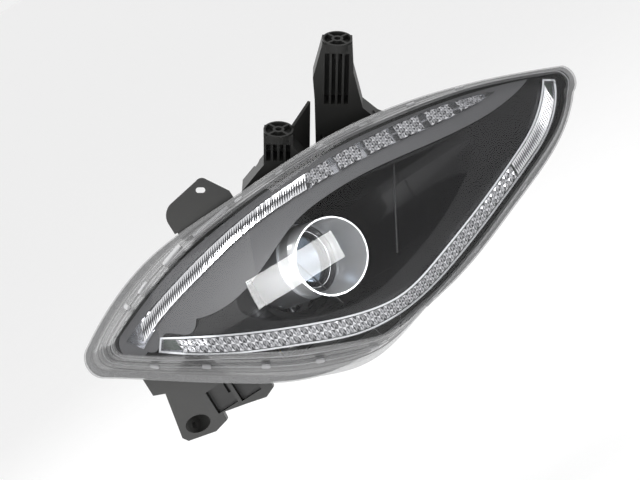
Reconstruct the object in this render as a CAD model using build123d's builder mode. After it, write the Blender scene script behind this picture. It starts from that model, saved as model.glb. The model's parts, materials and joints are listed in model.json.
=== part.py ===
"""Car headlight assembly: a swept right-hand lamp with a projector, its shells, brackets and aim gear.

Frame, millimetres: the car drives towards -Y, +Z is up, +X points to the middle of the car.
The origin is the top of the bolt hole in the tall upper bracket.
"""
from build123d import *
import os
from math import cos, radians, sin, sqrt

os.makedirs("parts", exist_ok=True)

# Driving dimensions
SWEEP = 47  # how far the lens turns outboard from straight ahead, degrees
LEAN = 12  # how far the lens leans back, degrees
LENS_ORIGIN = Vector(-143, 39, -152)  # middle of the lens plane
PROJECTOR = Vector(-119, 82, -174)  # middle of the projector's front ring
LENS_SKIN = 3  # wall of the clear outer lens
LENS_SKIRT = 30  # depth of its side wall
HOUSING_DEPTH = 118  # lens plane to the flat back of the tub
WALL = 3  # wall of the housing
DOME_LONG = 700  # radius of the lens along its length
DOME_ACROSS = 260  # radius of the lens across its height
STRAIGHT_BELOW = -60  # deeper layers of the dome are straight across its height
DOME_MIDDLE = 30  # where the dome stands highest, along the length
PIVOT_Y = 65  # projector ring to the aim axes
ARM = 70  # aim axis to the level rod and the vertical screw
POD_BACK = 162  # projector ring to the rear face of the housing
FIT = 0.05  # radial clearance of a turning or sliding fit
GAP = 0.4  # clearance between parts that move past each other
SHEET = 2.5  # wall of bezels and trays
DEEP = 250  # past the back of the lamp
BOLT_R = 3.3  # clearance hole for an M6 bolt
POD_TOP = 60
POD_LOW = -86
POD_SIDE = 61
POD_START = 20
POD_FRONT = 58
POD_MIDDLE = (0, (POD_TOP + POD_LOW) / 2)
POD_SIZE = (2 * POD_SIDE, POD_TOP - POD_LOW)
POD_INNER = (POD_SIZE[0] - 2 * WALL, POD_SIZE[1] - 2 * WALL)
PIN_R = 3  # tilt pins
PAN_PIN_R = 2.5
PORT_R = 41  # opening for changing the bulb
MOTOR = (20, -ARM)  # level motor, right and up from the projector's axis
SCREW = (-36, -ARM)  # vertical aim screw
SIDE_SCREW = (40, 44)  # horizontal aim screw
SIGNAL_LOCAL = (-192, 22)  # turn signal bulb on the lens plane
SIGNAL_PORT_R = 15
SOCKET = (150, 0)  # main connector on the lens plane

LENS_X = Vector(cos(radians(SWEEP)), -sin(radians(SWEEP)), 0)
LENS_Z = Vector(-sin(radians(SWEEP)) * cos(radians(LEAN)),
                -cos(radians(SWEEP)) * cos(radians(LEAN)), sin(radians(LEAN)))
LENS = Plane(origin=LENS_ORIGIN, x_dir=LENS_X, z_dir=LENS_Z)

# Outlines on the lens plane, as runs that share their end points: top, tip, bottom and outer corner
RIM = [
    [(-268, 37), (-234, 55), (-163, 79), (-57, 85), (55, 86), (145, 74), (235, 48), (313, 18)],
    [(313, 18), (319, 6), (308, -12)],
    [(308, -12), (278, -39), (196, -76), (101, -109), (25, -122), (-34, -127), (-91, -114),
     (-150, -81), (-230, -27), (-272, 0)],
    [(-272, 0), (-281, 18), (-268, 37)],
]
TUB_FRONT = [
    [(-258, 30), (-229, 46), (-160, 70), (-57, 77), (55, 78), (143, 66), (231, 41), (297, 13)],
    [(297, 13), (302, 5), (295, -7)],
    [(295, -7), (268, -32), (190, -67), (97, -100), (26, -113), (-32, -118), (-87, -105),
     (-145, -73), (-222, -22), (-260, 2)],
    [(-260, 2), (-267, 16), (-258, 30)],
]
TUB_BACK = [
    [(-243, 30), (-215, 42), (-154, 64), (-56, 67), (52, 68), (132, 57), (210, 35), (263, 11)],
    [(263, 11), (268, 3), (261, -9)],
    [(261, -9), (240, -28), (175, -58), (92, -88), (26, -102), (-31, -106), (-83, -95),
     (-137, -65), (-209, -18), (-243, 3)],
    [(-243, 3), (-251, 17), (-243, 30)],
]
LENS_FRONT = [
    [(-188, 29), (-153, 41), (-82, 63), (-14, 73), (50, 74), (136, 61), (226, 40), (297, 13)],
    [(297, 13), (300, 8), (295, -2)],
    [(295, -2), (258, -32), (195, -62), (114, -95), (63, -107), (22, -107), (-21, -91),
     (-54, -78), (-85, -63), (-126, -39), (-177, -6), (-190, 6)],
    [(-190, 6), (-199, 16), (-188, 29)],
]
LENS_BACK = [
    [(-291, 38), (-239, 80), (-178, 104), (-76, 104), (37, 108), (147, 95), (243, 56), (313, 22)],
    [(313, 22), (321, 9), (310, -12)],
    [(310, -12), (290, -43), (235, -73), (141, -108), (88, -121), (30, -138), (-31, -159),
     (-81, -159), (-127, -144), (-180, -112), (-258, -40), (-294, -2)],
    [(-294, -2), (-299, 20), (-291, 38)],
]
INTERIOR = [
    [(-228, 27), (-200, 38), (-134, 58), (-62, 68), (49, 71), (136, 60), (228, 39), (298, 14)],
    [(298, 14), (302, 8), (296, -3)],
    [(296, -3), (264, -33), (200, -61), (117, -94), (67, -106), (23, -108), (-44, -92), (-92, -71),
     (-136, -48), (-201, -12), (-228, 5)],
    [(-228, 5), (-237, 15), (-228, 27)],
]
SATIN = [
    [(-228, 27), (-200, 38), (-134, 58), (-62, 68), (49, 71), (136, 60), (228, 39), (270, 25)],
    [(270, 25), (262, 22)],
    [(262, 22), (231, 17), (158, 21), (58, 34), (26, 34), (-3, 31), (-54, 12), (-150, 0)],
    [(-150, 0), (-168, -8), (-188, 4), (-203, -6), (-212, -2)],
    [(-212, -2), (-236, 12), (-228, 27)],
]
STRIP = [
    [(-226, 19), (-190, 32), (-131, 48), (-66, 60), (6, 65), (68, 64), (125, 58), (182, 48), (233, 32)],
    [(233, 32), (170, 35), (113, 43), (58, 48), (-5, 50), (-74, 44), (-119, 34), (-161, 24), (-214, 3)],
    [(-214, 3), (-226, 19)],
]
GUIDE = [
    [(-192, 1), (-117, -40), (-60, -66), (-2, -87), (36, -93), (95, -80), (159, -58), (214, -36),
     (244, -22), (267, -5), (284, 14)],
    [(284, 14), (292, 9)],
    [(292, 9), (278, -13), (253, -33), (225, -46), (168, -68), (106, -90), (36, -105), (-14, -101),
     (-71, -79), (-120, -57), (-199, -8)],
    [(-199, -8), (-192, 1)],
]
CAVITY = [
    [(-145, -5), (-50, 8), (0, 27), (58, 31), (158, 17), (231, 14), (268, 18)],
    [(268, 18), (272, 9)],
    [(272, 9), (238, -18), (210, -30), (156, -52), (94, -73), (37, -85), (0, -80), (-56, -60),
     (-112, -34), (-150, -12)],
    [(-150, -12), (-145, -5)],
]
FLOOR = [
    [(-50, 8), (-32, 42), (12, 54), (44, 40), (54, 14)],
    [(54, 14), (56, 4)],
    [(56, 4), (44, -34), (8, -50), (-34, -42), (-52, -8)],
    [(-52, -8), (-50, 8)],
]
FLOOR_TURN = 15  # the bezel's floor faces outboard by this much, degrees


def behind(distance):
    """Plane square to the projector's axis, a distance behind its front ring, facing forward."""
    return Plane(origin=PROJECTOR + Vector(0, distance, 0), x_dir=(1, 0, 0), z_dir=(0, -1, 0))


def floor_plane(distance):
    """Plane of the bezel's floor, a distance behind the projector's ring."""
    turn = radians(FLOOR_TURN)
    return Plane(origin=PROJECTOR + Vector(0, distance, 0), x_dir=(cos(turn), -sin(turn), 0),
                 z_dir=(-sin(turn), -cos(turn), 0))


def place(x, y, z):
    """Point at an offset from the middle of the projector's ring."""
    return PROJECTOR + Vector(x, y, z)


def trace(runs):
    """Lines, arcs and splines through the runs of an outline."""
    for run in runs:
        if len(run) == 2:
            Line(*run)
        elif len(run) == 3:
            ThreePointArc(*run)
        else:
            Spline(*run)


def inset(runs, amount):
    """The same outline moved inwards by an amount, or outwards if it is negative."""
    points = [Vector(*point) for run in runs for point in run[:-1]]
    count = len(points)
    area = sum(points[i - 1].X * points[i].Y - points[i].X * points[i - 1].Y for i in range(count))
    side = 1 if area > 0 else -1
    moved = []
    for i in range(count):
        before = (points[i] - points[i - 1]).normalized()
        after = (points[(i + 1) % count] - points[i]).normalized()
        normal_1 = Vector(-before.Y, before.X) * side
        normal_2 = Vector(-after.Y, after.X) * side
        shift = (normal_1 + normal_2) * (amount / max(0.5, 1 + normal_1.dot(normal_2)))
        moved.append(((points[i] + shift).X, (points[i] + shift).Y))
    result = []
    start = 0
    for run in runs:
        result.append([moved[(start + k) % count] for k in range(len(run))])
        start += len(run) - 1
    return result


def outline_face(runs, plane):
    """Flat face inside an outline."""
    with BuildSketch(plane) as face:
        with BuildLine():
            trace(runs)
        make_face()
    return face.sketch.faces()[0]


def column(runs, mode=Mode.ADD):
    """Straight column through the whole lamp, square to the lens plane."""
    extrude(outline_face(runs, LENS.offset(20)), amount=-260, mode=mode)


def walls(front, back, front_n=1, back_n=-130, mode=Mode.ADD):
    """Drafted block between an outline near the lens surface and one deeper in the lamp."""
    faces = [outline_face(front, LENS.offset(front_n)), outline_face(back, LENS.offset(back_n))]
    loft(faces, ruled=True, mode=mode)


def crown(across, offset):
    """Distance from the dome's long axis to a layer; deep layers are straight across."""
    if offset < STRAIGHT_BELOW:
        return DOME_LONG + offset
    return DOME_LONG - DOME_ACROSS + sqrt((DOME_ACROSS + offset) ** 2 - across**2)


def layer_plane(along, across, offset):
    """Plane parallel to the lens plane, where a layer of the dome passes a point on it."""
    n = sqrt(crown(across, offset) ** 2 - (along - DOME_MIDDLE) ** 2) - DOME_LONG
    centre = LENS.from_local_coords((along, across, n))
    return Plane(origin=centre, x_dir=LENS_X, z_dir=LENS_Z)


def dome_band(outer, inner, mode=Mode.ADD):
    """Layer of the lens dome between two offsets from its outer surface, negative inwards."""
    half_width = 150
    half_turn = 30
    centre = LENS.from_local_coords((DOME_MIDDLE, 0, -DOME_LONG))
    start = Plane(origin=centre, x_dir=LENS.y_dir,
                  z_dir=LENS_X * cos(radians(half_turn)) + LENS_Z * sin(radians(half_turn)))
    top = [(across, crown(across, outer)) for across in (-half_width, 0, half_width)]
    low = [(across, crown(across, inner)) for across in (half_width, 0, -half_width)]
    with BuildSketch(start) as band:
        with BuildLine():
            ThreePointArc(*top)
            Line(top[2], low[0])
            if inner < STRAIGHT_BELOW:
                Line(low[0], low[2])
            else:
                ThreePointArc(*low)
            Line(low[2], top[0])
        make_face()
    revolve(band.sketch, axis=Axis(centre, LENS.y_dir), revolution_arc=2 * half_turn, mode=mode)


def tube(plane, outer_r, inner_r, length, mode=Mode.ADD):
    """Straight tube from a plane, forward for a positive length."""
    with BuildSketch(plane) as ring:
        Circle(outer_r)
        if inner_r:
            Circle(inner_r, mode=Mode.SUBTRACT)
    extrude(ring.sketch, amount=length, mode=mode)


def block(plane, centre, size, length, radius=0, mode=Mode.ADD):
    """Rectangular bar from a plane."""
    with BuildSketch(plane) as section:
        with Locations(centre):
            if radius:
                RectangleRounded(*size, radius)
            else:
                Rectangle(*size)
    extrude(section.sketch, amount=length, mode=mode)


def save(part, label):
    """Name a finished piece and write its file."""
    part.label = label
    export_step(part, f"parts/{label}.step")


# --- Clear outer lens and its seal -------------------------------------------------------------
WALL_BACK = inset(LENS_BACK, 5)
with BuildPart() as lens_space:
    dome_band(-LENS_SKIN, -60)
    walls(inset(LENS_FRONT, LENS_SKIN), inset(WALL_BACK, LENS_SKIN), mode=Mode.INTERSECT)

with BuildPart() as lens_foot:
    dome_band(-LENS_SKIRT + 3, -LENS_SKIRT)
    column(RIM, mode=Mode.INTERSECT)

with BuildPart() as outer_lens:
    dome_band(0, -LENS_SKIRT)
    walls(LENS_FRONT, WALL_BACK, mode=Mode.INTERSECT)
    add(lens_foot.part)
    add(lens_space.part, mode=Mode.SUBTRACT)
save(outer_lens.part, "outer_lens")

SEAL_DEPTH = LENS_SKIRT + 3
with BuildPart() as lens_seal:
    dome_band(-LENS_SKIRT, -SEAL_DEPTH)
    column(inset(RIM, 2), mode=Mode.INTERSECT)
    column(inset(RIM, 7), mode=Mode.SUBTRACT)
save(lens_seal.part, "lens_seal")

# --- Bezels, ribbed signal strip and light guide, seen through the lens --------------------------
SATIN_TOP = -14
GUIDE_TOP = -13
SHEET_TOP = -19


def tray(runs, top, low, wall):
    """Open tray with an outline's shape, sunk between two depths under the lens."""
    with BuildPart() as space:
        dome_band(top + 10, low + wall)
        column(runs, mode=Mode.INTERSECT)
    with BuildPart() as body:
        dome_band(top, low)
        column(inset(runs, -wall), mode=Mode.INTERSECT)
        add(space.part, mode=Mode.SUBTRACT)
    return body.part


with BuildPart() as satin_bezel:
    dome_band(SATIN_TOP, SATIN_TOP - SHEET)
    column(SATIN, mode=Mode.INTERSECT)
    column(inset(STRIP, -0.2), mode=Mode.SUBTRACT)
    column(inset(GUIDE, -2.4), mode=Mode.SUBTRACT)
save(satin_bezel.part, "satin_bezel")

with BuildPart() as signal_lens:
    dome_band(SATIN_TOP + 3, SATIN_TOP - SHEET)
    column(STRIP, mode=Mode.INTERSECT)
save(signal_lens.part, "signal_lens")

TRAY_WALL = 1.5
SIGNAL_TOP = SATIN_TOP - SHEET
SIGNAL_LOW = SIGNAL_TOP - 12
FUNNEL_TOP = layer_plane(*SIGNAL_LOCAL, SIGNAL_LOW)
FUNNEL_R = 9
FUNNEL = 40  # length of the funnel round the signal bulb
with BuildPart() as signal_reflector:
    add(tray(STRIP, SIGNAL_TOP, SIGNAL_LOW, TRAY_WALL))
    tube(FUNNEL_TOP.offset(-FUNNEL), FUNNEL_R + TRAY_WALL, 0, FUNNEL + TRAY_WALL)
    tube(FUNNEL_TOP.offset(-FUNNEL), FUNNEL_R, 0, FUNNEL + 10, mode=Mode.SUBTRACT)
save(signal_reflector.part, "signal_reflector")

with BuildPart() as light_guide:
    dome_band(GUIDE_TOP, GUIDE_TOP - 5)
    column(GUIDE, mode=Mode.INTERSECT)
save(light_guide.part, "light_guide")

GUIDE_LOW = GUIDE_TOP - 15
light_guide_reflector = tray(GUIDE, GUIDE_TOP - 5, GUIDE_LOW, TRAY_WALL)
save(light_guide_reflector, "light_guide_reflector")

with BuildPart() as guide_trim:
    dome_band(GUIDE_TOP, GUIDE_TOP - 5)
    column(inset(GUIDE, -2.2), mode=Mode.INTERSECT)
    column(inset(GUIDE, -0.3), mode=Mode.SUBTRACT)
save(guide_trim.part, "guide_trim")

BOARD_TOP = GUIDE_LOW + TRAY_WALL + 1.6
with BuildPart() as led_board:
    dome_band(BOARD_TOP, BOARD_TOP - 1.6)
    column(inset(GUIDE, 1), mode=Mode.INTERSECT)
save(led_board.part, "led_board")

LED_PLACES = [(-160, -22), (-118, -48), (-65, -72), (-8, -94), (36, -99), (100, -85), (163, -63),
              (219, -41), (248, -28), (272, -9)]
with BuildPart() as led_chips:
    dome_band(BOARD_TOP + 1.2, BOARD_TOP)
    with BuildSketch(LENS.offset(20)) as chips:
        with Locations(*LED_PLACES):
            Rectangle(5, 5)
    extrude(chips.sketch, amount=-260, mode=Mode.INTERSECT)
save(led_chips.part, "led_chips")

FLOOR_Y = 36  # projector ring to the floor of the black bezel
COLLAR_R = 47
with BuildPart() as cavity_space:
    floor = outline_face(FLOOR, floor_plane(FLOOR_Y))
    loft([outline_face(CAVITY, LENS.offset(-5)), floor], ruled=True)

with BuildPart() as bezel_sheet:
    dome_band(SHEET_TOP, SHEET_TOP - SHEET)
    column(INTERIOR, mode=Mode.INTERSECT)
    column(inset(STRIP, -TRAY_WALL - 0.5), mode=Mode.SUBTRACT)
    column(inset(GUIDE, -TRAY_WALL - 0.5), mode=Mode.SUBTRACT)

with BuildPart() as black_bezel:
    loft([outline_face(inset(CAVITY, -SHEET), LENS.offset(-5)),
          outline_face(inset(FLOOR, -SHEET), floor_plane(FLOOR_Y + SHEET))], ruled=True)
    dome_band(SHEET_TOP, -DEEP, mode=Mode.INTERSECT)
    add(bezel_sheet.part)
    add(cavity_space.part, mode=Mode.SUBTRACT)
    tube(behind(FLOOR_Y + 24), COLLAR_R, 0, 40, mode=Mode.SUBTRACT)
save(black_bezel.part, "black_bezel")

# --- Housing: shallow tub that follows the lens, with a deep pod behind the projector ----------
RIM_BACK = SEAL_DEPTH + 5


def on_back(point, proud=0):
    """Plane on the flat back of the tub, facing the lens."""
    return Plane(origin=LENS.from_local_coords((*point, -HOUSING_DEPTH - proud)), x_dir=LENS_X, z_dir=LENS_Z)


SIGNAL = on_back(SIGNAL_LOCAL, 5)
CONNECTOR = on_back(SOCKET)

MOTOR_NECK = 11
BUSH_R = 6
SCREW_R = 2
SCREW_LENGTH = 12
# Seats of the bracket screws: on the top wall, then on the bottom wall, with the heads outside
SCREW_SEATS = [
    Plane(origin=LENS.from_local_coords(point), x_dir=LENS_X, z_dir=LENS.y_dir * way)
    for point, way in [((62, 79, -103), 1), ((106, 77, -103), 1), ((-46, 79, -82), 1), ((-12, 79, -82), 1),
                       ((-100, 74, -90), 1), ((-196, -36, -112), -1), ((-166, -55, -112), -1)]
]


def across(side, distance):
    """Plane facing away from the projector's axis, on the tilt axis."""
    return Plane(origin=place(side * distance, PIVOT_Y, 0), x_dir=(0, 1, 0), z_dir=(side, 0, 0))


with BuildPart() as bezel_clearance:
    loft([outline_face(inset(CAVITY, -SHEET - 2), LENS.offset(-5)),
          outline_face(inset(FLOOR, -SHEET - 2), floor_plane(FLOOR_Y + SHEET + 2))], ruled=True)

with BuildPart() as strip_clearance:
    dome_band(SIGNAL_TOP, SIGNAL_LOW - 3)
    column(inset(STRIP, -TRAY_WALL - 3), mode=Mode.INTERSECT)

with BuildPart() as tub_block:
    dome_band(-SEAL_DEPTH, -DEEP)
    walls(TUB_FRONT, TUB_BACK, 0, -HOUSING_DEPTH, mode=Mode.INTERSECT)

with BuildPart() as tub_space:
    walls(inset(TUB_FRONT, WALL), inset(TUB_BACK, WALL), 0, WALL - HOUSING_DEPTH)

with BuildPart() as housing_rim:
    dome_band(-SEAL_DEPTH, -RIM_BACK)
    column(inset(RIM, 1), mode=Mode.INTERSECT)

with BuildPart() as housing:
    add(tub_block.part)
    add(housing_rim.part)
    tube(SIGNAL, SIGNAL_PORT_R + 5, 0, 12)
    block(behind(POD_START), POD_MIDDLE, POD_SIZE, POD_START - POD_BACK, 22)
    add(tub_space.part, mode=Mode.SUBTRACT)
    tube(SIGNAL.offset(-1), SIGNAL_PORT_R, 0, 20, mode=Mode.SUBTRACT)
    block(behind(POD_FRONT), POD_MIDDLE, POD_SIZE, POD_FRONT - POD_BACK, 22)
    block(behind(-20), POD_MIDDLE, POD_INNER, -20 - POD_BACK + WALL, 19, mode=Mode.SUBTRACT)
    tube(behind(POD_BACK), PORT_R, 0, 20, mode=Mode.SUBTRACT)
    with BuildSketch(behind(POD_BACK)) as openings:
        with PolarLocations(PORT_R, 3):
            Rectangle(5, 13)
        with Locations(MOTOR):
            Circle(MOTOR_NECK + 0.2)
        with Locations(SCREW, SIDE_SCREW):
            Circle(BUSH_R)
    extrude(openings.sketch, amount=20, mode=Mode.SUBTRACT)
    add(bezel_clearance.part, mode=Mode.SUBTRACT)
    add(strip_clearance.part, mode=Mode.SUBTRACT)
    for side in (-1, 1):
        tube(across(side, POD_SIDE - 5), 8, 0, 9)
        tube(across(side, POD_SIDE - 8), PIN_R + FIT, 0, 20, mode=Mode.SUBTRACT)
    for seat in SCREW_SEATS:
        tube(seat, SCREW_R, 0, -SCREW_LENGTH, mode=Mode.SUBTRACT)
    block(CONNECTOR, (0, 0), (24, 10), 20, mode=Mode.SUBTRACT)
save(housing.part, "housing")

# --- Brackets that bolt the lamp to the car -----------------------------------------------------
PAD_TILT = 38  # the upper pads lean forward from level, degrees
PAD_Z = Vector(0, -sin(radians(PAD_TILT)), cos(radians(PAD_TILT)))
PAD_X = LENS_Z.cross(PAD_Z).normalized() * -1
TALL_PAD = Plane(origin=(0, 0, 0), x_dir=PAD_X, z_dir=PAD_Z)
SHORT_PAD = Plane(origin=(-76, 67, -45), x_dir=PAD_X, z_dir=PAD_Z)
PAD_R = 15.5
PAD_THICK = 9
HUB_R = 6
ARM_DEEP = 22
RIB = 2.4
TALL_ARM = [
    [(-15.5, -2), (-24.6, -41)], [(-24.6, -41), (-22.5, -67)], [(-22.5, -67), (-20.5, -128)],
    [(-20.5, -128), (64, -128)], [(64, -128), (62, -98)], [(62, -98), (44, -90)],
    [(44, -90), (28, -76)], [(28, -76), (17.4, -34)], [(17.4, -34), (15.5, -2)], [(15.5, -2), (-15.5, -2)],
]
SHORT_ARM = [
    [(-15, -2), (-15, -37)], [(-15, -37), (-38, -70)], [(-38, -70), (-38, -90)], [(-38, -90), (30, -90)],
    [(30, -90), (30, -34)], [(30, -34), (15.5, -14)], [(15.5, -14), (15, -2)], [(15, -2), (-15, -2)],
]


def pad_bracket(pad, arm, pocket_top, pocket_low, ribs):
    """Ribbed post with a round bolting pad on top, open to the front."""
    face = Plane(origin=pad.origin + pad.y_dir * ARM_DEEP / -2, x_dir=pad.x_dir, z_dir=pad.y_dir * -1)
    with BuildPart() as bracket:
        extrude(outline_face(arm, face), amount=-ARM_DEEP)
        block(face, (0, (pocket_top + pocket_low) / 2), (2 * PAD_R - 6, pocket_top - pocket_low),
              -ARM_DEEP + 3, mode=Mode.SUBTRACT)
        for place_x in ribs:
            block(face, (place_x, (pocket_top + pocket_low) / 2), (RIB, pocket_top - pocket_low + 2), -ARM_DEEP)
        tube(pad, PAD_R, 0, -PAD_THICK)
        tube(pad, PAD_R - 2, HUB_R, -PAD_THICK + 4, mode=Mode.SUBTRACT)
        for turn in (45, 135):
            with BuildSketch(pad) as cross:
                Rectangle(2 * PAD_R - 2, RIB, rotation=turn)
            extrude(cross.sketch, amount=-PAD_THICK)
        tube(pad.offset(-PAD_THICK), HUB_R, 0, -12)
        tube(pad, BOLT_R, 0, -PAD_THICK - 12, mode=Mode.SUBTRACT)
    return bracket.part


def trimmed(part, seats):
    """The part, cut back to the housing's outside and drilled for its screws."""
    with BuildPart() as result:
        add(part)
        add(tub_block.part, mode=Mode.SUBTRACT)
        add(housing_rim.part, mode=Mode.SUBTRACT)
        block(behind(POD_FRONT), POD_MIDDLE, POD_SIZE, POD_FRONT - POD_BACK, 22, mode=Mode.SUBTRACT)
        for seat in seats:
            tube(seat, SCREW_R, 0, -SCREW_LENGTH, mode=Mode.SUBTRACT)
            tube(seat, 4.5, 0, 30, mode=Mode.SUBTRACT)
    return result.part.solids().sort_by(SortBy.VOLUME)[-1]


with BuildPart() as tall_post:
    add(pad_bracket(TALL_PAD, TALL_ARM, -12, -72, (-6.5, 0, 6.5)))
    block(LENS.offset(-114), (84, 74), (74, 22), 22)
tall_bracket = trimmed(tall_post.part, SCREW_SEATS[:2])
save(tall_bracket, "tall_bracket")

with BuildPart() as short_post:
    add(pad_bracket(SHORT_PAD, SHORT_ARM, -12, -32, (-6.5, 0, 6.5)))
    block(LENS.offset(-92), (-21, 74), (56, 22), 20)
    web_start = SHORT_PAD.from_local_coords((13, 4, 0))
    web_way = (SHORT_PAD.x_dir * 21 + SHORT_PAD.y_dir * 38).normalized()
    web = Plane(origin=web_start, x_dir=web_way, z_dir=web_way.cross(PAD_Z))
    with BuildSketch(web) as web_face:
        with BuildLine():
            Polyline((0, -14), (0, 2), (34, 14), (34, -84), (0, -84), close=True)
        make_face()
    extrude(web_face.sketch, amount=3)
short_bracket = trimmed(short_post.part, SCREW_SEATS[2:4])
save(short_bracket, "short_bracket")

SLOT = (10, 5.7)
PLATE = [
    [(-124, 86), (-124, 98)], [(-124, 98), (-121, 108), (-111, 115)], [(-111, 115), (-76, 121)],
    [(-76, 121), (-70, 121), (-66, 117)], [(-66, 117), (-52, 94)], [(-52, 94), (-52, 84)],
    [(-52, 84), (-124, 86)],
]
with BuildPart() as plate_blank:
    extrude(outline_face(PLATE, LENS.offset(-70)), amount=-SHEET)
    block(LENS.offset(-96), (-88, 78), (66, 20), 26 - SHEET + 2)
    with BuildSketch(LENS.offset(-60)) as slot:
        with Locations(Location((-77, 110.5, 0), (0, 0, -32))):
            SlotOverall(*SLOT)
    extrude(slot.sketch, amount=-20, mode=Mode.SUBTRACT)
side_plate = trimmed(plate_blank.part, SCREW_SEATS[4:5])
save(side_plate, "side_plate")

LOWER_FRONT = -92
LOWER_DEEP = 26
LOWER_BOLT = Vector(-236, 254, -263)
LOWER = [
    [(-236, -24), (-236, -44)], [(-236, -44), (-224, -49)], [(-224, -49), (-234, -98)],
    [(-234, -98), (-230, -104)], [(-230, -104), (-200, -111)], [(-200, -111), (-184, -107)],
    [(-184, -107), (-183, -98)], [(-183, -98), (-156, -104)], [(-156, -104), (-136, -109)],
    [(-136, -109), (-124, -104)], [(-124, -104), (-124, -60)], [(-124, -60), (-236, -24)],
]
LOWER_BOSS = Plane(origin=LOWER_BOLT + Vector(0, -6, 0), x_dir=(1, 0, 0), z_dir=(0, -1, 0))
with BuildPart() as lower_blank:
    extrude(outline_face(LOWER, LENS.offset(LOWER_FRONT)), amount=-LOWER_DEEP)
    with BuildSketch(LENS.offset(LOWER_FRONT)) as lower_pockets:
        with Locations((-176, -84)):
            Rectangle(24, 26)
        with Locations((-148, -86)):
            Rectangle(24, 26)
    extrude(lower_pockets.sketch, amount=-LOWER_DEEP + 3, mode=Mode.SUBTRACT)
    tube(LOWER_BOSS, 9, 0, -14)
    tube(LOWER_BOSS, 9, 0, 40, mode=Mode.SUBTRACT)
    tube(LOWER_BOSS.offset(-14), 9, 0, -40, mode=Mode.SUBTRACT)
    tube(LOWER_BOSS.offset(1), BOLT_R, 0, -60, mode=Mode.SUBTRACT)
lower_bracket = trimmed(lower_blank.part, SCREW_SEATS[5:])
save(lower_bracket, "lower_bracket")

with BuildPart() as bracket_screws:
    for seat in SCREW_SEATS:
        tube(seat, SCREW_R, 0, -SCREW_LENGTH)
        tube(seat, 4.2, 0, 3)
save(bracket_screws.part, "bracket_screws")

# --- Projector: lens, holder, shroud, frame and bowl, one body on the pan pins -------------------
LENS_R = 30
HOLDER_R = 36
FRAME_R = 40
SHIELD_Y = 51  # projector ring to the cutoff shield
SHIELD_PIN = (0, -28)
SHIELD_PIN_R = 1.5
LEVER_X = 16
PLUNGER = (LEVER_X, -43)
PLUNGER_R = 2
RING_INNER = 49.5
RING_OUTER = 55
BOWL_END = 96
COLLAR_END = 108
BULB_BORE = 15
SECTION = Plane(origin=PROJECTOR, x_dir=(0, 1, 0), z_dir=(cos(radians(30)), 0, sin(radians(30))))


def turned(runs, mode=Mode.ADD):
    """Body turned about the projector's axis; points are distance behind the ring and radius."""
    revolve(outline_face(runs, SECTION), axis=Axis(PROJECTOR, (0, 1, 0)), mode=mode)


with BuildPart() as projector_lens:
    turned([[(-6, 0), (-1, 19), (9, LENS_R)], [(9, LENS_R), (14, LENS_R)], [(14, LENS_R), (14, 0)],
            [(14, 0), (-6, 0)]])
save(projector_lens.part, "projector_lens")

with BuildPart() as lens_holder:
    turned([[(4, HOLDER_R - 2), (4, HOLDER_R)], [(4, HOLDER_R), (26, HOLDER_R)], [(26, HOLDER_R), (26, 28)],
            [(26, 28), (14, 28)], [(14, 28), (14, LENS_R)], [(14, LENS_R), (9, LENS_R)],
            [(9, LENS_R), (4, HOLDER_R - 2)]])
save(lens_holder.part, "lens_holder")

SHROUD_RIM = LENS.offset(-25)
SHROUD_WALL = 1.5


def shroud_cone(ring_r, rim_x, rim_y):
    """Skew cone from the projector's ring to a wide rim that faces out of the lens."""
    ring = Plane(origin=PROJECTOR, x_dir=(0.685, 0, -0.729), z_dir=(0, -1, 0))
    rim = Plane(origin=SHROUD_RIM.from_local_coords((1, -20, 0)),
                x_dir=LENS_X * 0.843 - LENS.y_dir * 0.537, z_dir=LENS_Z)
    with BuildSketch(ring) as near_end:
        Circle(ring_r)
    with BuildSketch(rim) as far_end:
        Ellipse(rim_x, rim_y)
    return near_end.sketch.faces()[0], far_end.sketch.faces()[0]


with BuildPart() as shroud_space:
    loft(shroud_cone(HOLDER_R, 36, 39))
with BuildPart() as projector_shroud:
    loft(shroud_cone(HOLDER_R + SHROUD_WALL, 36 + SHROUD_WALL, 39 + SHROUD_WALL))
    add(shroud_space.part, mode=Mode.SUBTRACT)
    tube(behind(0), HOLDER_R + SHROUD_WALL, HOLDER_R, -14)
save(projector_shroud.part, "projector_shroud")

with BuildPart() as projector_frame:
    tube(behind(14), FRAME_R, HOLDER_R, -44)
    tube(behind(26), FRAME_R, 32, -3)
    pin_hole = Plane(origin=place(-50, SHIELD_Y, SHIELD_PIN[1]), x_dir=(0, 1, 0), z_dir=(1, 0, 0))
    tube(pin_hole, SHIELD_PIN_R + FIT, 0, 100, mode=Mode.SUBTRACT)
    block(behind(SHIELD_Y - 9), (LEVER_X, -36), (8, 20), -18, mode=Mode.SUBTRACT)
save(projector_frame.part, "projector_frame")

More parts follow.
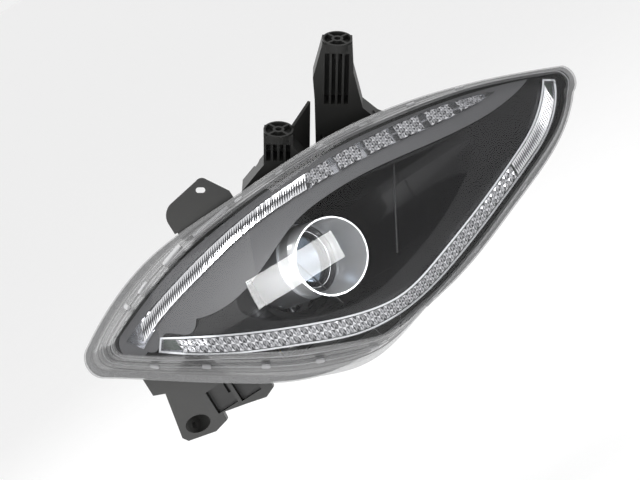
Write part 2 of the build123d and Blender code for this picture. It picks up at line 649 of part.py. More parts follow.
with BuildPart() as projector_bowl:
    turned([[(58, FRAME_R), (80, 35)], [(80, 35), (BOWL_END, 20)], [(BOWL_END, 20), (COLLAR_END, 20)],
            [(COLLAR_END, 20), (COLLAR_END, BULB_BORE)], [(COLLAR_END, BULB_BORE), (BOWL_END, BULB_BORE)],
            [(BOWL_END, BULB_BORE), (78, 31)], [(78, 31), (58, 36)], [(58, 36), (58, FRAME_R)]])
    for side in (-1, 1):
        boss = Plane(origin=place(0, PIVOT_Y, side * 37), x_dir=(1, 0, 0), z_dir=(0, 0, side))
        tube(boss, 7, 0, 10)
        tube(boss.offset(2), PAN_PIN_R, 0, 10, mode=Mode.SUBTRACT)
    arm_way = Vector(SIDE_SCREW[0], 0, SIDE_SCREW[1]).normalized()
    arm = Plane(origin=place(0, 86, 0) + arm_way * 28, x_dir=(0, 1, 0), z_dir=arm_way)
    with BuildSketch(arm) as arm_section:
        Rectangle(4, 12)
    extrude(arm_section.sketch, amount=28)
    tube(Plane(origin=place(SIDE_SCREW[0], 84, SIDE_SCREW[1]), x_dir=(1, 0, 0), z_dir=(0, 1, 0)), 8, 0, 4)
    tube(Plane(origin=place(SIDE_SCREW[0], 80, SIDE_SCREW[1]), x_dir=(1, 0, 0), z_dir=(0, 1, 0)),
         4.6, 0, 12, mode=Mode.SUBTRACT)
    block(behind(92), (LEVER_X, -27.2), (12, 17.6), -6)
save(projector_bowl.part, "projector_bowl")

with BuildPart() as pan_pins:
    for side in (-1, 1):
        seat = Plane(origin=place(0, PIVOT_Y, side * 39), x_dir=(1, 0, 0), z_dir=(0, 0, side))
        tube(seat, PAN_PIN_R, 0, RING_OUTER - 39)
save(pan_pins.part, "pan_pins")

with BuildPart() as shield_solenoid:
    block(behind(74), PLUNGER, (18, 14), -24, 2)
    with BuildSketch(behind(74)) as coil_bore:
        with Locations(PLUNGER):
            Circle(PLUNGER_R + FIT)
    extrude(coil_bore.sketch, amount=-20, mode=Mode.SUBTRACT)
save(shield_solenoid.part, "shield_solenoid")

with BuildPart() as cutoff_shield:
    with BuildSketch(behind(SHIELD_Y - 0.6)) as blade:
        with BuildLine():
            Polyline((-19, -27), (-19, -1), (-4, -1), (3, 1), (19, 1), (19, -27), close=True)
        make_face()
    extrude(blade.sketch, amount=-1.2)
    block(behind(SHIELD_Y - 1.5), (LEVER_X, -36.5), (5, 17), -3)
    tube(pin_hole.offset(24), SHIELD_PIN_R, 0, 52)
    block(behind(SHIELD_Y - 1.5), (LEVER_X, PLUNGER[1] - 1), (3.2, 5), -3, mode=Mode.SUBTRACT)
save(cutoff_shield.part, "cutoff_shield")

with BuildPart() as shield_plunger:
    for start, end, radius in ((45, 47.5, 2.5), (47.5, 54.5, 1.1), (54.5, 86, PLUNGER_R)):
        with BuildSketch(behind(start)) as step:
            with Locations(PLUNGER):
                Circle(radius)
        extrude(step.sketch, amount=start - end)
save(shield_plunger.part, "shield_plunger")

# --- Headlamp bulb and its twist adapter ---------------------------------------------------------
with BuildPart() as bulb_adapter:
    tube(behind(COLLAR_END - 8), BULB_BORE - FIT, 10, -8 - GAP)
    tube(behind(COLLAR_END + GAP), 21, 10, -4)
    with BuildSketch(behind(COLLAR_END + GAP)) as ears:
        with PolarLocations(22, 2):
            Rectangle(10, 9)
        Circle(20, mode=Mode.SUBTRACT)
    extrude(ears.sketch, amount=-4)
save(bulb_adapter.part, "bulb_adapter")

with BuildPart() as bulb_base:
    tube(behind(100), 10, 0, -16)
    block(behind(116), (0, 0), (16, 12), -10, 2)
save(bulb_base.part, "bulb_base")

with BuildPart() as bulb_glass:
    turned([[(60, 0), (62, 5), (67, 6)], [(67, 6), (100, 6)], [(100, 6), (100, 0)], [(100, 0), (60, 0)]])
save(bulb_glass.part, "bulb_glass")

# --- Tilt frame and aim gear ---------------------------------------------------------------------
FRAME_THICK = 8
BALL_R = 4
AIM_R = 3
ROD_R = 2.5
HEAD_R = 8


def on_screw(distance, point):
    """Plane behind the ring, centred on one of the aim screws or the level rod, facing back."""
    return Plane(origin=place(point[0], distance, point[1]), x_dir=(1, 0, 0), z_dir=(0, 1, 0))


with BuildPart() as tilt_frame:
    tube(behind(PIVOT_Y - FRAME_THICK / 2), RING_OUTER, RING_INNER, -FRAME_THICK)
    block(behind(62), (-8, -ARM), (76, 14), -6, 3)
    block(behind(62), (-26, -58), (10, 20), -6)
    block(behind(62), (12, -59), (10, 18), -6)
    tube(behind(50), RING_INNER, 0, -30, mode=Mode.SUBTRACT)
    for side in (-1, 1):
        seat = Plane(origin=place(0, PIVOT_Y, side * 45), x_dir=(1, 0, 0), z_dir=(0, 0, side))
        tube(seat, PAN_PIN_R + FIT, 0, 14, mode=Mode.SUBTRACT)
        tube(across(side, 45), PIN_R, 0, 14, mode=Mode.SUBTRACT)
    tube(on_screw(60, SCREW), AIM_R + 0.8, 0, 10, mode=Mode.SUBTRACT)
    tube(on_screw(60, MOTOR), BALL_R + GAP, 0, 10, mode=Mode.SUBTRACT)
save(tilt_frame.part, "tilt_frame")

with BuildPart() as tilt_pins:
    for side in (-1, 1):
        tube(across(side, RING_INNER), PIN_R, 0, 62 - RING_INNER)
save(tilt_pins.part, "tilt_pins")

with BuildPart() as aim_nut:
    with BuildSketch(on_screw(68, SCREW)) as nut:
        RegularPolygon(7, 6)
        Circle(AIM_R + 0.9, mode=Mode.SUBTRACT)
    extrude(nut.sketch, amount=6)
save(aim_nut.part, "aim_nut")


def aim_screw(point, tip):
    """Long adjusting screw with a gear head behind the housing."""
    with BuildPart() as screw:
        tube(on_screw(tip, point), AIM_R, 0, POD_BACK + 6 - tip)
        with BuildSketch(on_screw(POD_BACK + 5, point)) as head:
            Circle(HEAD_R)
            with PolarLocations(HEAD_R, 12):
                Circle(1.1, mode=Mode.SUBTRACT)
        extrude(head.sketch, amount=8)
    return screw.part


save(aim_screw(SCREW, 60), "vertical_screw")
save(aim_screw(SIDE_SCREW, 79), "horizontal_screw")

with BuildPart() as screw_bushes:
    for point in (SCREW, SIDE_SCREW):
        tube(on_screw(POD_BACK - WALL, point), BUSH_R, AIM_R + FIT, WALL)
        tube(on_screw(POD_BACK, point), BUSH_R + 2, AIM_R + FIT, 4)
save(screw_bushes.part, "screw_bushes")

with BuildPart() as level_rod:
    sphere_at = place(MOTOR[0], PIVOT_Y, MOTOR[1])
    with Locations(sphere_at):
        Sphere(BALL_R)
    tube(on_screw(PIVOT_Y, MOTOR), ROD_R, 0, 112)
save(level_rod.part, "level_rod")

with BuildPart() as level_motor:
    tube(on_screw(160, MOTOR), MOTOR_NECK, 0, 10)
    tube(on_screw(POD_BACK, MOTOR), 18, 0, 20)
    block(Plane(origin=place(MOTOR[0], POD_BACK + 2, MOTOR[1]), x_dir=(1, 0, 0), z_dir=(0, 1, 0)),
          (16, 0), (34, 24), 22, 3)
    tube(on_screw(155, MOTOR), ROD_R + FIT, 0, 30, mode=Mode.SUBTRACT)
save(level_motor.part, "level_motor")

# --- Rear covers, signal bulb, connector and vents ------------------------------------------------
CAP_R = 47
with BuildPart() as access_cap:
    tube(behind(POD_BACK + GAP), CAP_R, 0, -7)
    tube(behind(POD_BACK - 9), PORT_R - FIT, PORT_R - 3, -9 - GAP)
    with BuildSketch(behind(POD_BACK - 7.5)) as lugs:
        with PolarLocations(PORT_R - 0.5, 3, start_angle=35):
            Rectangle(4, 9)
        Circle(PORT_R - 2, mode=Mode.SUBTRACT)
    extrude(lugs.sketch, amount=-4)
    block(behind(POD_BACK + 7), (0, 0), (70, 12), -9, 4)
    tube(behind(POD_BACK + GAP), 45.5, 42.5, -1.6, mode=Mode.SUBTRACT)
save(access_cap.part, "access_cap")

with BuildPart() as cap_seal:
    tube(behind(POD_BACK + 0.3), 45.5, 42.5, -1.7)
save(cap_seal.part, "cap_seal")

with BuildPart() as signal_socket:
    tube(SIGNAL.offset(-GAP), SIGNAL_PORT_R - FIT, 0, 12)
    tube(SIGNAL.offset(-GAP), 19, 0, -4)
    block(SIGNAL.offset(-GAP - 4), (0, 0), (26, 8), -7, 3)
save(signal_socket.part, "signal_socket")

with BuildPart() as signal_bulb:
    tube(SIGNAL.offset(12 - GAP), 6.3, 0, 40)
    fillet(signal_bulb.edges().group_by(Axis(SIGNAL.origin, SIGNAL.z_dir))[-1], 4)
save(signal_bulb.part, "signal_bulb")

with BuildPart() as main_connector:
    block(CONNECTOR, (0, 0), (40, 24), -3, 3)
    block(CONNECTOR.offset(-3), (0, 0), (32, 17), -16, 2)
    block(CONNECTOR.offset(-4), (0, 0), (28, 13), -15, 1, mode=Mode.SUBTRACT)
save(main_connector.part, "main_connector")

with BuildPart() as connector_pins:
    with BuildSketch(CONNECTOR.offset(-4)) as pins:
        with GridLocations(5, 5, 5, 2):
            Rectangle(1.2, 1.2)
    extrude(pins.sketch, amount=-9)
save(connector_pins.part, "connector_pins")

VENTS = [(92, -20), (215, -2)]
with BuildPart() as vent_caps:
    for vent in VENTS:
        seat = on_back(vent)
        tube(seat, 6, 0, -10)
        tube(seat.offset(-10), 9, 0, -8)
save(vent_caps.part, "vent_caps")
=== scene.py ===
import json
import math
import bmesh
import bpy
from mathutils import Matrix, Vector
from mathutils.bvhtree import BVHTree


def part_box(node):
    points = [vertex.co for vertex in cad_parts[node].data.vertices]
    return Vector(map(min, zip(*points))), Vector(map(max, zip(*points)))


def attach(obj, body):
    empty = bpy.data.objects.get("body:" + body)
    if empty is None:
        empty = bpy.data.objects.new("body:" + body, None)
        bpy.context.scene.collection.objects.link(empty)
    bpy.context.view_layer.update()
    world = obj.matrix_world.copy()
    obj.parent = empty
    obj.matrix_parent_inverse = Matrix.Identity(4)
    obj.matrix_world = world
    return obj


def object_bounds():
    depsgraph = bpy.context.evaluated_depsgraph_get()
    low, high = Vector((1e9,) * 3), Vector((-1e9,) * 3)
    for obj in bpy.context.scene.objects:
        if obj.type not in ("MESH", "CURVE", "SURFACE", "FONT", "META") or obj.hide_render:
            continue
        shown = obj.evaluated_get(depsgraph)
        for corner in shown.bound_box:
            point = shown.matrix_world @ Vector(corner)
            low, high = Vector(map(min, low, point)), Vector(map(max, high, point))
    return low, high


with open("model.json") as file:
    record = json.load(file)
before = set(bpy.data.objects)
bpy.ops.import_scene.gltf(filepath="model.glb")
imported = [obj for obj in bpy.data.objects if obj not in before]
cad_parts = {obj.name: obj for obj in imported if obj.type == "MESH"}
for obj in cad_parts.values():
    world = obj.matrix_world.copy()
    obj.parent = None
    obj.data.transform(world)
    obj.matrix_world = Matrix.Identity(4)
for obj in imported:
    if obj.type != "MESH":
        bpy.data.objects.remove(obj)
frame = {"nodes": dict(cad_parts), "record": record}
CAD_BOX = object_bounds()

# --- Axes of the lens plane, as in the CAD model: along the lens, across it, and out of it -------
MM = 0.001
SWEEP = math.radians(47)
LEAN = math.radians(12)
ALONG = Vector((math.cos(SWEEP), -math.sin(SWEEP), 0))
OUT = Vector((-math.sin(SWEEP) * math.cos(LEAN), -math.cos(SWEEP) * math.cos(LEAN), math.sin(LEAN)))
ACROSS = OUT.cross(ALONG)
LENS_MIDDLE = Vector((-0.143, 0.039, -0.152))
DOME_LONG = 700  # radius of the lens along its length, millimetres
DOME_ACROSS = 260  # radius of the lens across its height
DOME_MIDDLE = 30  # where the dome stands highest, along the lens
VIEW_DISTANCE = 1.8  # camera to the middle of the lens, metres
ring_low, ring_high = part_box("lens_holder")
PROJECTOR = Vector(((ring_low[0] + ring_high[0]) / 2, ring_low[1], (ring_low[2] + ring_high[2]) / 2))


def at(along, across, out):
    """Point from millimetres on the lens plane."""
    return LENS_MIDDLE + (ALONG * along + ACROSS * across + OUT * out) * MM


def lens_local(point):
    """Millimetres on the lens plane from a point."""
    offset = point - LENS_MIDDLE
    return offset.dot(ALONG) / MM, offset.dot(ACROSS) / MM, offset.dot(OUT) / MM


# --- Materials ------------------------------------------------------------------------------------
COAT_ROUGHNESS = 0.04
MOTTLE_SCALE = 22
GRAIN_DEPTH = 0.0003


def shader(name, color, rough=0.4, metal=0.0, coat=0.0, grain=0.0, grain_size=400.0, mottle=0.04,
           level=0.5):
    """Principled material with uneven colour and roughness, and a fine moulded grain."""
    mat = bpy.data.materials.new(name)
    mat.use_nodes = True
    nt = mat.node_tree
    bsdf = nt.nodes["Principled BSDF"]
    bsdf.inputs["Metallic"].default_value = metal
    bsdf.inputs["Coat Weight"].default_value = coat
    bsdf.inputs["Coat Roughness"].default_value = COAT_ROUGHNESS
    bsdf.inputs["Specular IOR Level"].default_value = level
    place = nt.nodes.new("ShaderNodeTexCoord")
    noise = nt.nodes.new("ShaderNodeTexNoise")
    noise.inputs["Scale"].default_value = MOTTLE_SCALE
    noise.inputs["Detail"].default_value = 6
    nt.links.new(place.outputs["Object"], noise.inputs["Vector"])
    tint = nt.nodes.new("ShaderNodeMix")
    tint.data_type = "RGBA"
    low = [max(0, v * (1 - mottle)) for v in color[:3]] + [1]
    high = [min(1, v * (1 + mottle)) for v in color[:3]] + [1]
    tint.inputs["A"].default_value = low
    tint.inputs["B"].default_value = high
    nt.links.new(noise.outputs["Fac"], tint.inputs["Factor"])
    nt.links.new(tint.outputs["Result"], bsdf.inputs["Base Color"])
    spread = nt.nodes.new("ShaderNodeMapRange")
    spread.inputs["To Min"].default_value = max(0.02, rough - 0.05 * rough)
    spread.inputs["To Max"].default_value = min(1, rough + 0.15 * rough)
    nt.links.new(noise.outputs["Fac"], spread.inputs["Value"])
    nt.links.new(spread.outputs["Result"], bsdf.inputs["Roughness"])
    if grain:
        fine = nt.nodes.new("ShaderNodeTexNoise")
        fine.inputs["Scale"].default_value = grain_size
        nt.links.new(place.outputs["Object"], fine.inputs["Vector"])
        bump = nt.nodes.new("ShaderNodeBump")
        bump.inputs["Strength"].default_value = grain
        bump.inputs["Distance"].default_value = GRAIN_DEPTH
        nt.links.new(fine.outputs["Fac"], bump.inputs["Height"])
        nt.links.new(bump.outputs["Normal"], bsdf.inputs["Normal"])
    return mat


def math_node(nt, operation, *values):
    """Output of a math node; each value is a socket or a number."""
    node = nt.nodes.new("ShaderNodeMath")
    node.operation = operation
    for i, value in enumerate(values):
        if isinstance(value, (int, float)):
            node.inputs[i].default_value = value
        else:
            nt.links.new(value, node.inputs[i])
    return node.outputs["Value"]


def foot_haze(nt, place, amount):
    """Haze that starts near the foot of the lens, far below its dome."""
    local = []
    for axis in (ALONG, ACROSS, OUT):
        part = nt.nodes.new("ShaderNodeVectorMath")
        part.operation = "DOT_PRODUCT"
        part.inputs[1].default_value = axis / MM
        nt.links.new(place.outputs["Object"], part.inputs[0])
        local.append(math_node(nt, "SUBTRACT", part.outputs["Value"], LENS_MIDDLE.dot(axis) / MM))
    from_middle = math_node(nt, "SUBTRACT", local[0], DOME_MIDDLE)
    long_drop = math_node(nt, "DIVIDE", math_node(nt, "POWER", from_middle, 2), 2 * DOME_LONG)
    cross_drop = math_node(nt, "DIVIDE", math_node(nt, "POWER", local[1], 2), 2 * DOME_ACROSS)
    depth = math_node(nt, "ADD", local[2], math_node(nt, "ADD", long_drop, cross_drop))
    deep = nt.nodes.new("ShaderNodeMapRange")
    deep.inputs["From Min"].default_value = -14
    deep.inputs["From Max"].default_value = -22
    deep.inputs["To Max"].default_value = amount
    nt.links.new(depth, deep.inputs["Value"])
    return deep.outputs["Result"]


def clear(name, tint, strength=1.0, rough=0.02, haze=0.0, side_haze=0.0, foot=None):
    """Thin clear plastic: what is behind it shows, under a Fresnel gloss. Its side walls can be hazy."""
    mat = bpy.data.materials.new(name)
    mat.use_nodes = True
    nt = mat.node_tree
    bsdf = nt.nodes["Principled BSDF"]
    out = nt.nodes["Material Output"]
    bsdf.inputs["Base Color"].default_value = (*[v * 0.42 for v in tint], 1)
    bsdf.inputs["Roughness"].default_value = 0.35
    through = nt.nodes.new("ShaderNodeBsdfTransparent")
    through.inputs["Color"].default_value = (*tint, 1)
    gloss = nt.nodes.new("ShaderNodeBsdfGlossy")
    gloss.inputs["Roughness"].default_value = rough
    fresnel = nt.nodes.new("ShaderNodeFresnel")
    fresnel.inputs["IOR"].default_value = 1.5
    amount = nt.nodes.new("ShaderNodeMath")
    amount.operation = "MULTIPLY"
    amount.inputs[1].default_value = strength
    nt.links.new(fresnel.outputs["Fac"], amount.inputs[0])
    skin = nt.nodes.new("ShaderNodeMixShader")
    nt.links.new(amount.outputs["Value"], skin.inputs["Fac"])
    nt.links.new(through.outputs["BSDF"], skin.inputs[1])
    nt.links.new(gloss.outputs["BSDF"], skin.inputs[2])
    place = nt.nodes.new("ShaderNodeTexCoord")
    facing = nt.nodes.new("ShaderNodeVectorMath")
    facing.operation = "DOT_PRODUCT"
    facing.inputs[1].default_value = OUT
    nt.links.new(place.outputs["Normal"], facing.inputs[0])
    size = nt.nodes.new("ShaderNodeMath")
    size.operation = "ABSOLUTE"
    nt.links.new(facing.outputs["Value"], size.inputs[0])
    wall = nt.nodes.new("ShaderNodeMapRange")
    wall.inputs["From Min"].default_value = 0.35
    wall.inputs["From Max"].default_value = 0.6
    wall.inputs["To Min"].default_value = side_haze
    wall.inputs["To Max"].default_value = haze
    nt.links.new(size.outputs["Value"], wall.inputs["Value"])
    whole = nt.nodes.new("ShaderNodeMixShader")
    if foot is None:
        nt.links.new(wall.outputs["Result"], whole.inputs["Fac"])
    else:
        most = math_node(nt, "MAXIMUM", wall.outputs["Result"], foot_haze(nt, place, foot))
        nt.links.new(most, whole.inputs["Fac"])
    nt.links.new(skin.outputs["Shader"], whole.inputs[1])
    nt.links.new(bsdf.outputs["BSDF"], whole.inputs[2])
    nt.links.new(whole.outputs["Shader"], out.inputs["Surface"])
    return mat


MAT = {
    "clear_lens": clear("clear_lens", (0.985, 0.987, 0.99), 0.4, 0.012, 0.0, 0.36, 0.36),
    "seal_black": shader("seal_black", (0.16, 0.16, 0.165), 0.5, grain=0.2),
    "satin_grey": shader("satin_grey", (0.105, 0.105, 0.11), 0.42, grain=0.15, grain_size=900),
    "bezel_black": shader("bezel_black", (0.004, 0.004, 0.005), 0.14, level=0.3),
    "strip_clear": clear("strip_clear", (0.9, 0.9, 0.91), 0.6, 0.05, 0.06, 0.2),
    "reflector": shader("reflector", (0.82, 0.83, 0.85), 0.12, 1.0),
    "guide_clear": clear("guide_clear", (0.92, 0.92, 0.93), 0.6, 0.05, 0.06, 0.2),
    "trim_chrome": shader("trim_chrome", (0.8, 0.81, 0.83), 0.08, 1.0),
    "board_green": shader("board_green", (0.02, 0.1, 0.04), 0.35, coat=0.4),
    "chip_white": shader("chip_white", (0.85, 0.78, 0.45), 0.3),
    "housing_black": shader("housing_black", (0.022, 0.022, 0.021), 0.45, level=0.3, grain=0.5,
                            grain_size=1200, mottle=0.15),
    "bracket_black": shader("bracket_black", (0.02, 0.02, 0.019), 0.42, level=0.22, grain=0.4,
                            grain_size=1200, mottle=0.15),
    "screw_steel": shader("screw_steel", (0.55, 0.55, 0.56), 0.3, 1.0, grain=0.2),
    "frame_metal": shader("frame_metal", (0.55, 0.56, 0.58), 0.42, 1.0, grain=0.5, grain_size=700),
    "projector_glass": clear("projector_glass", (0.55, 0.6, 0.66), 1.0, 0.01, 0.02, 0.05),
    "lens_ring": shader("lens_ring", (0.03, 0.03, 0.033), 0.3, grain=0.2),
    "shroud_chrome": shader("shroud_chrome", (0.86, 0.87, 0.88), 0.22, 0.55, coat=0.5),
    "coil_black": shader("coil_black", (0.03, 0.03, 0.03), 0.45, grain=0.3),
    "shield_steel": shader("shield_steel", (0.35, 0.35, 0.36), 0.4, 1.0, grain=0.3),
    "bulb_clear": clear("bulb_clear", (0.96, 0.97, 0.98), 1.0, 0.01, 0.03, 0.03),
    "bulb_amber": clear("bulb_amber", (0.95, 0.42, 0.05), 1.0, 0.03, 0.2, 0.2),
    "bulb_holder": shader("bulb_holder", (0.5, 0.5, 0.47), 0.5, grain=0.2),
    "nut_brass": shader("nut_brass", (0.7, 0.5, 0.2), 0.3, 1.0, grain=0.2),
    "screw_plastic": shader("screw_plastic", (0.72, 0.72, 0.68), 0.42, grain=0.2),
    "motor_grey": shader("motor_grey", (0.07, 0.07, 0.075), 0.45, grain=0.4, grain_size=1000),
    "contact_tin": shader("contact_tin", (0.75, 0.66, 0.4), 0.25, 1.0),
    "cap_black": shader("cap_black", (0.03, 0.03, 0.032), 0.5, grain=0.5, grain_size=1000),
    "vent_rubber": shader("vent_rubber", (0.02, 0.02, 0.02), 0.75, grain=0.3),
}
CRYSTAL = shader("crystal", (0.9, 0.9, 0.92), 0.08, 0.6, coat=0.4)
# Darker copies of the crystal material: painted shade and painted dark reflections on some sides of each
# facet
CRYSTAL_PAINTED_SHADE = shader("crystal_painted_shade", (0.3, 0.3, 0.31), 0.12, 0.6, coat=0.4)
CRYSTAL_PAINTED_DARK_REFLECTION = shader("crystal_painted_dark_reflection", (0.07, 0.07, 0.075), 0.12, 0.3, coat=0.4)
FACET_PAINTED_SHADES = (0, 2, 0, 1)  # which crystal material each side of a facet takes
# Near-black for thin lines on the lens's side wall: painted shade standing in for its gaps
GAP_PAINTED_SHADE = shader("gap_painted_shade", (0.02, 0.02, 0.022), 0.3)
FROST = shader("frost", (0.33, 0.33, 0.34), 0.3, coat=0.3, mottle=0.06)

slots = {row["node"]: row["material_slot"] for row in frame["record"]["subparts"]}
for node, obj in frame["nodes"].items():
    obj.data.materials.clear()
    obj.data.materials.append(MAT[slots[node]])


# --- Pieces laid on the CAD surfaces --------------------------------------------------------------
def tree_of(node):
    """Search tree of a CAD node's mesh."""
    obj = frame["nodes"][node]
    mesh = bmesh.new()
    mesh.from_mesh(obj.data)
    mesh.transform(obj.matrix_world)
    tree = BVHTree.FromBMesh(mesh)
    mesh.free()
    return tree


TREES = {name: tree_of(name) for name in ("signal_lens", "light_guide", "outer_lens", "black_bezel")}


ABOVE_LENS = 60  # where the rays that find a surface start


def height(node, along, across):
    """How far out the node's front surface is over a point of the lens plane, or None."""
    hit = TREES[node].ray_cast(at(along, across, ABOVE_LENS), -OUT)[0]
    return None if hit is None else lens_local(hit)[2]


def span(node, along, low=-135, high=110, step=0.5):
    """Lowest and highest place across the lens where the node is met at a place along it."""
    found = []
    across = low
    while across < high:
        if height(node, along, across) is not None:
            found.append(across)
        across += step
    return (found[0], found[-1]) if found else None


def piece(name, mesh, body, slot, *mats):
    """New object from a bmesh, in its materials, riding on a body."""
    data = bpy.data.meshes.new(name)
    bmesh.ops.recalc_face_normals(mesh, faces=mesh.faces)
    mesh.to_mesh(data)
    mesh.free()
    obj = bpy.data.objects.new(name, data)
    bpy.context.scene.collection.objects.link(obj)
    for mat in mats:
        data.materials.append(mat)
    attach(obj, body)
    return obj


FACET_EDGE = 0.4  # what the facets leave free along each edge of the strip
FACET_LIFT = 0.05


def facets(node, name, slot, stations, rows, peak, sink, slant=0.0, skip=None):
    """Rows of small cut prisms over a curved strip, each a closed pyramid on a short base, some of its
    sides in darker copies of the crystal material as painted shade and painted dark reflections.
    """
    mesh = bmesh.new()
    spans = [span(node, station) for station in stations]
    for i in range(len(stations) - 1):
        if spans[i] is None or spans[i + 1] is None or (skip and skip(i)):
            continue
        for j in range(rows):
            ring = []
            for k, frac in ((i, j / rows), (i + 1, j / rows), (i + 1, (j + 1) / rows), (i, (j + 1) / rows)):
                low, high = spans[k]
                across = low + FACET_EDGE + (high - low - 2 * FACET_EDGE) * frac
                along = stations[k] + slant * (frac - 0.5)
                ring.append((along, across))
            tops = [height(node, *spot) for spot in ring]
            if None in tops:
                continue
            base = [mesh.verts.new(at(*spot, top + FACET_LIFT)) for spot, top in zip(ring, tops)]
            low = [mesh.verts.new(at(*spot, top - sink)) for spot, top in zip(ring, tops)]
            middle = [sum(spot[axis] for spot in ring) / 4 for axis in (0, 1)]
            tip = mesh.verts.new(at(*middle, sum(tops) / 4 + peak))
            for k in range(4):
                cut = mesh.faces.new((base[k], base[(k + 1) % 4], tip))
                # painted shade: each side of a facet takes the crystal material or one of its darker copies
                cut.material_index = FACET_PAINTED_SHADES[(k + i + j) % 4] if rows > 1 else FACET_PAINTED_SHADES[k]
                mesh.faces.new((low[k], low[(k + 1) % 4], base[(k + 1) % 4], base[k]))
            mesh.faces.new(low)
    return piece(name, mesh, "housing", slot, CRYSTAL, CRYSTAL_PAINTED_SHADE, CRYSTAL_PAINTED_DARK_REFLECTION)


def even(start, end, step):
    """Places from start to end, evenly spaced."""
    count = max(1, round((end - start) / step))
    return [start + (end - start) * k / count for k in range(count + 1)]


facets("signal_lens", "strip_ribs", "strip_clear", even(-206, 20, 2.9), 1, 1.6, 0.6, slant=7)
facets("signal_lens", "strip_crystals", "strip_clear", even(22, 222, 3.8), 3, 2.2, 0.6,
       skip=lambda i: i % 9 in (7, 8))
facets("light_guide", "guide_crystals", "guide_clear", even(-180, 205, 3.6), 2, 1.9, 0.5)
facets("light_guide", "guide_ribs", "guide_clear", even(207, 282, 2.4), 1, 0.9, 0.5)


def swept(name, points, radius, body, mat, closed=False):
    """Round bead of one thickness along a row of points."""
    curve = bpy.data.curves.new(name, "CURVE")
    curve.dimensions = "3D"
    curve.bevel_depth = radius * MM
    curve.bevel_resolution = 3
    spline = curve.splines.new("NURBS")
    spline.points.add(len(points) - 1)
    for knot, point in zip(spline.points, points):
        knot.co = (*point, 1)
    spline.use_cyclic_u = closed
    spline.order_u = 3
    spline.use_endpoint_u = not closed
    curve.materials.append(mat)
    obj = bpy.data.objects.new(name, curve)
    bpy.context.scene.collection.objects.link(obj)
    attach(obj, body)
    return obj


def on_node(node, spots, lift):
    """Points on a node's front surface over places on the lens plane."""
    tops = [(spot, height(node, *spot)) for spot in spots]
    return [at(*spot, top + lift) for spot, top in tops if top is not None]


def between(start, end, count=14):
    """Places in a straight row."""
    return [tuple(start[i] + (end[i] - start[i]) * k / count for i in (0, 1)) for k in range(count + 1)]


BEZEL_LINES = [((-128, -22), (-78, -10)), ((-122, -29), (-70, -18)), ((-114, -36), (-62, -27)),
               ((20, -62), (90, -64)), ((96, -62), (205, -22))]
for i, (start, end) in enumerate(BEZEL_LINES):
    path = on_node("black_bezel", between(start, end), 0.1)
    swept(f"bezel_rib_{i + 1}", path, 0.45, "housing", MAT["bezel_black"])


def ring(centre, normal, radius, count=36):
    """Points round a circle."""
    side = normal.cross(Vector((0, 0, 1))).normalized()
    up = side.cross(normal)
    turns = [k * math.tau / count for k in range(count)]
    return [centre + (side * math.cos(turn) + up * math.sin(turn)) * radius * MM for turn in turns]


FORWARD = Vector((0, -1, 0))
# Distance behind the holder's front, radius, bead radius and material slot
LENS_BEADS = ((3.2, 30.4, 0.7, "trim_chrome"), (3.8, 34.6, 0.9, "lens_ring"))
for i, (behind, radius, bead, mat) in enumerate(LENS_BEADS):
    path = ring(PROJECTOR - FORWARD * behind * MM, FORWARD, radius)
    swept(f"lens_bead_{i + 1}", path, bead, "projector", MAT[mat], closed=True)


def dome_drop(along, across):
    """How far the lens dome has fallen below its top over a point of the lens plane."""
    return (along - DOME_MIDDLE) ** 2 / (2 * DOME_LONG) + across ** 2 / (2 * DOME_ACROSS)


FIRST_DROP = 0.35  # how much of the drop far outside the lens is a first guess at its side wall
DROP_STEP = 4


def skirt_hit(start, way, depth):
    """Where a line across the lamp meets the lens's side wall under the dome, and the wall's normal."""
    drop = dome_drop(*start) * FIRST_DROP
    hit = normal = None
    for _ in range(4):
        begin = at(*start, depth - drop)
        hit, normal = TREES["outer_lens"].ray_cast(begin, ALONG * way[0] + ACROSS * way[1])[:2]
        if hit is None:
            drop += DROP_STEP
            continue
        drop = dome_drop(*lens_local(hit)[:2])
    return hit, normal


OUTSIDE = 170  # across the lens, past its side wall
TAB_BEVEL = 0.12
TAB_OUT = 0.2  # how much of a tab's thickness its middle stands outside the wall


def skirt_box(name, along, side, deep, width, tall, thick):
    """Small moulded tab on the outside of the lens's side wall."""
    hit, normal = skirt_hit((along, side * OUTSIDE), (0, -side), deep)
    if hit is None:
        return
    outward = (normal if normal.dot(ACROSS * side) > 0 else -normal).normalized()
    level = OUT.cross(outward).normalized()
    rise = outward.cross(level)
    mesh = bmesh.new()
    bmesh.ops.create_cube(mesh, size=1)
    bmesh.ops.bevel(mesh, geom=mesh.edges[:], offset=TAB_BEVEL, segments=2, affect="EDGES")
    turn = Matrix((level * width * MM, outward * thick * MM, rise * tall * MM)).transposed().to_4x4()
    mesh.transform(Matrix.Translation(hit + outward * (thick * TAB_OUT) * MM) @ turn)
    piece(name, mesh, "housing", "clear_lens", FROST)


WALL_MIDDLE = (10, -10)
WALL_REACH = (300, 125)  # half the lens, along and across
LINE_STEPS = 120
WALL_FACING = 0.7  # a surface that faces out of the lens more than this isn't side wall
LINE_SINK = 0.2
# Depth under the dome, radius and material of the lines round the side wall; the near-black lines are
# painted shade standing in for gaps in the clear wall
SKIRT_LINES = ((-7, 0.5, FROST), (-13, 0.35, GAP_PAINTED_SHADE), (-19, 0.6, FROST), (-26, 0.7, GAP_PAINTED_SHADE))


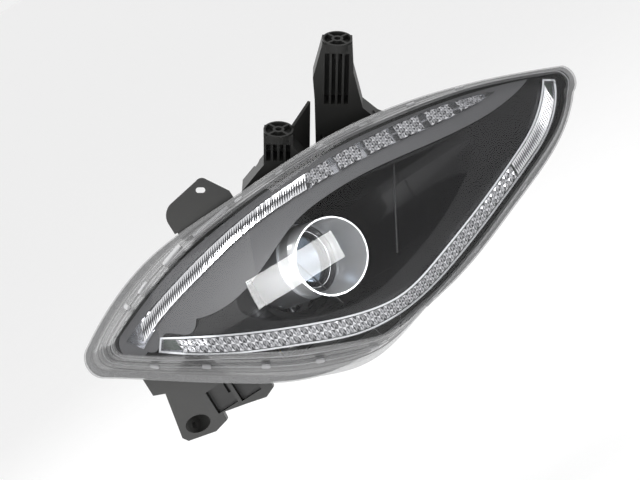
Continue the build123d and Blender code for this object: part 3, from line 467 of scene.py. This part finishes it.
def wall_loop(depth, sink):
    """Points round the lens's side wall at a depth, sunk into it."""
    loop = []
    for step in range(LINE_STEPS):
        turn = step * math.tau / LINE_STEPS
        way = Vector((math.cos(turn) * WALL_REACH[0], math.sin(turn) * WALL_REACH[1]))
        begin = (WALL_MIDDLE[0] + way.x * 1.3, WALL_MIDDLE[1] + way.y * 1.6)
        aim = (WALL_MIDDLE[0] + way.x * 0.55, WALL_MIDDLE[1])
        inward = Vector((aim[0] - begin[0], aim[1] - begin[1])).normalized()
        hit, normal = skirt_hit(begin, inward, depth)
        if hit is not None and abs(normal.dot(OUT)) < WALL_FACING:
            loop.append(hit + (ALONG * inward.x + ACROSS * inward.y) * sink * MM)
    return loop


for i, (depth, radius, mat) in enumerate(SKIRT_LINES):
    loop = wall_loop(depth, radius + LINE_SINK)
    if len(loop) > 20:
        swept(f"skirt_line_{i + 1}", loop, radius, "housing", mat, closed=True)

# Place along the lens, upper or lower side, depth, width, height and thickness of each tab
TABS = [(-84, 1, -12, 46, 6, 2.4), (-136, 1, -12, 26, 10, 2.0)]
TABS += [(-180, 1, -12, 14, 7, 2.4), (-205, 1, -14, 5, 13, 2.6)]
TABS += [(along, 1, -17, 9, 7, 2.2) for along in (-48, 2, 50, 100, 152, 204)]
TABS += [(along, -1, -17, 9, 7, 2.2) for along in (-214, -168, -116, -66, -12, 60, 130, 205)]
for i, tab in enumerate(TABS):
    skirt_box(f"skirt_tab_{i + 1}", *tab)


# --- Lights, floor and camera ---------------------------------------------------------------------
world = bpy.data.worlds.new("studio")
bpy.context.scene.world = world
world.use_nodes = True
world.node_tree.nodes["Background"].inputs["Color"].default_value = (1.0, 1.0, 1.0, 1)
world.node_tree.nodes["Background"].inputs["Strength"].default_value = 0.88


def softbox(name, place, aim, size, power, lit=True):
    """Rectangular studio light aimed at a point; one that isn't lit only shows as a reflection."""
    data = bpy.data.lights.new(name, "AREA")
    data.shape = "RECTANGLE"
    data.size, data.size_y = size
    data.energy = power
    lamp = bpy.data.objects.new(name, data)
    lamp.location = place
    lamp.rotation_euler = (place - aim).to_track_quat("Z", "Y").to_euler()
    lamp.visible_diffuse = lit
    bpy.context.scene.collection.objects.link(lamp)


softbox("key", LENS_MIDDLE + Vector((-0.6, -0.8, 1.6)), LENS_MIDDLE, (1.0, 0.7), 9)
softbox("fill", LENS_MIDDLE + Vector((-1.6, -0.2, 0.5)), LENS_MIDDLE, (0.8, 1.2), 3)
softbox("rim", LENS_MIDDLE + Vector((1.2, -0.9, 0.6)), LENS_MIDDLE, (0.6, 1.2), 3)
softbox("back", LENS_MIDDLE + Vector((0.4, 1.6, 0.9)), LENS_MIDDLE, (1.4, 1.0), 7)

# A bright panel that lights nothing, and whose reflection lies on the lens over the projector
GLINT = (-38, -12)
PANEL_DISTANCE = 0.9
glint = at(*GLINT, 0)
lean_along = ALONG * (GLINT[0] - DOME_MIDDLE) / DOME_LONG
lean_across = ACROSS * GLINT[1] / DOME_ACROSS
glint_normal = (OUT + lean_along + lean_across).normalized()
glint_view = (LENS_MIDDLE + OUT * VIEW_DISTANCE - glint).normalized()
glint_way = glint_normal * (2 * glint_normal.dot(glint_view)) - glint_view
softbox("panel", glint + glint_way * PANEL_DISTANCE, glint, (0.42, 0.26), 8, lit=False)

FLOOR_HALF = 60
FLOOR_DROP = 0.35  # the lamp hangs by its brackets, clear of the floor
floor_mesh = bmesh.new()
bmesh.ops.create_grid(floor_mesh, x_segments=1, y_segments=1, size=FLOOR_HALF)
floor_data = bpy.data.meshes.new("floor")
floor_mesh.to_mesh(floor_data)
floor_mesh.free()
floor_obj = bpy.data.objects.new("floor", floor_data)
floor_obj.location = (0, 0, CAD_BOX[0][2] - FLOOR_DROP)
bpy.context.scene.collection.objects.link(floor_obj)
floor_data.materials.append(shader("floor_pale", (0.97, 0.97, 0.97), 0.8, mottle=0.01))

# The camera looks straight into the lens and is rolled about its own axis
ROLL_RIGHT = Vector((0.4935, -0.6930, -0.5256))
ROLL_UP = Vector((0.4947, -0.2734, 0.8250))
camera_data = bpy.data.cameras.new("camera")
camera_data.sensor_width = 36
camera_data.lens = 101.25
camera = bpy.data.objects.new("camera", camera_data)
camera_turn = Matrix((ROLL_RIGHT, ROLL_UP, OUT)).transposed().to_4x4()
camera.matrix_world = Matrix.Translation(LENS_MIDDLE + OUT * VIEW_DISTANCE) @ camera_turn
bpy.context.scene.collection.objects.link(camera)
bpy.context.scene.camera = camera
bpy.context.scene.view_settings.view_transform = "Standard"
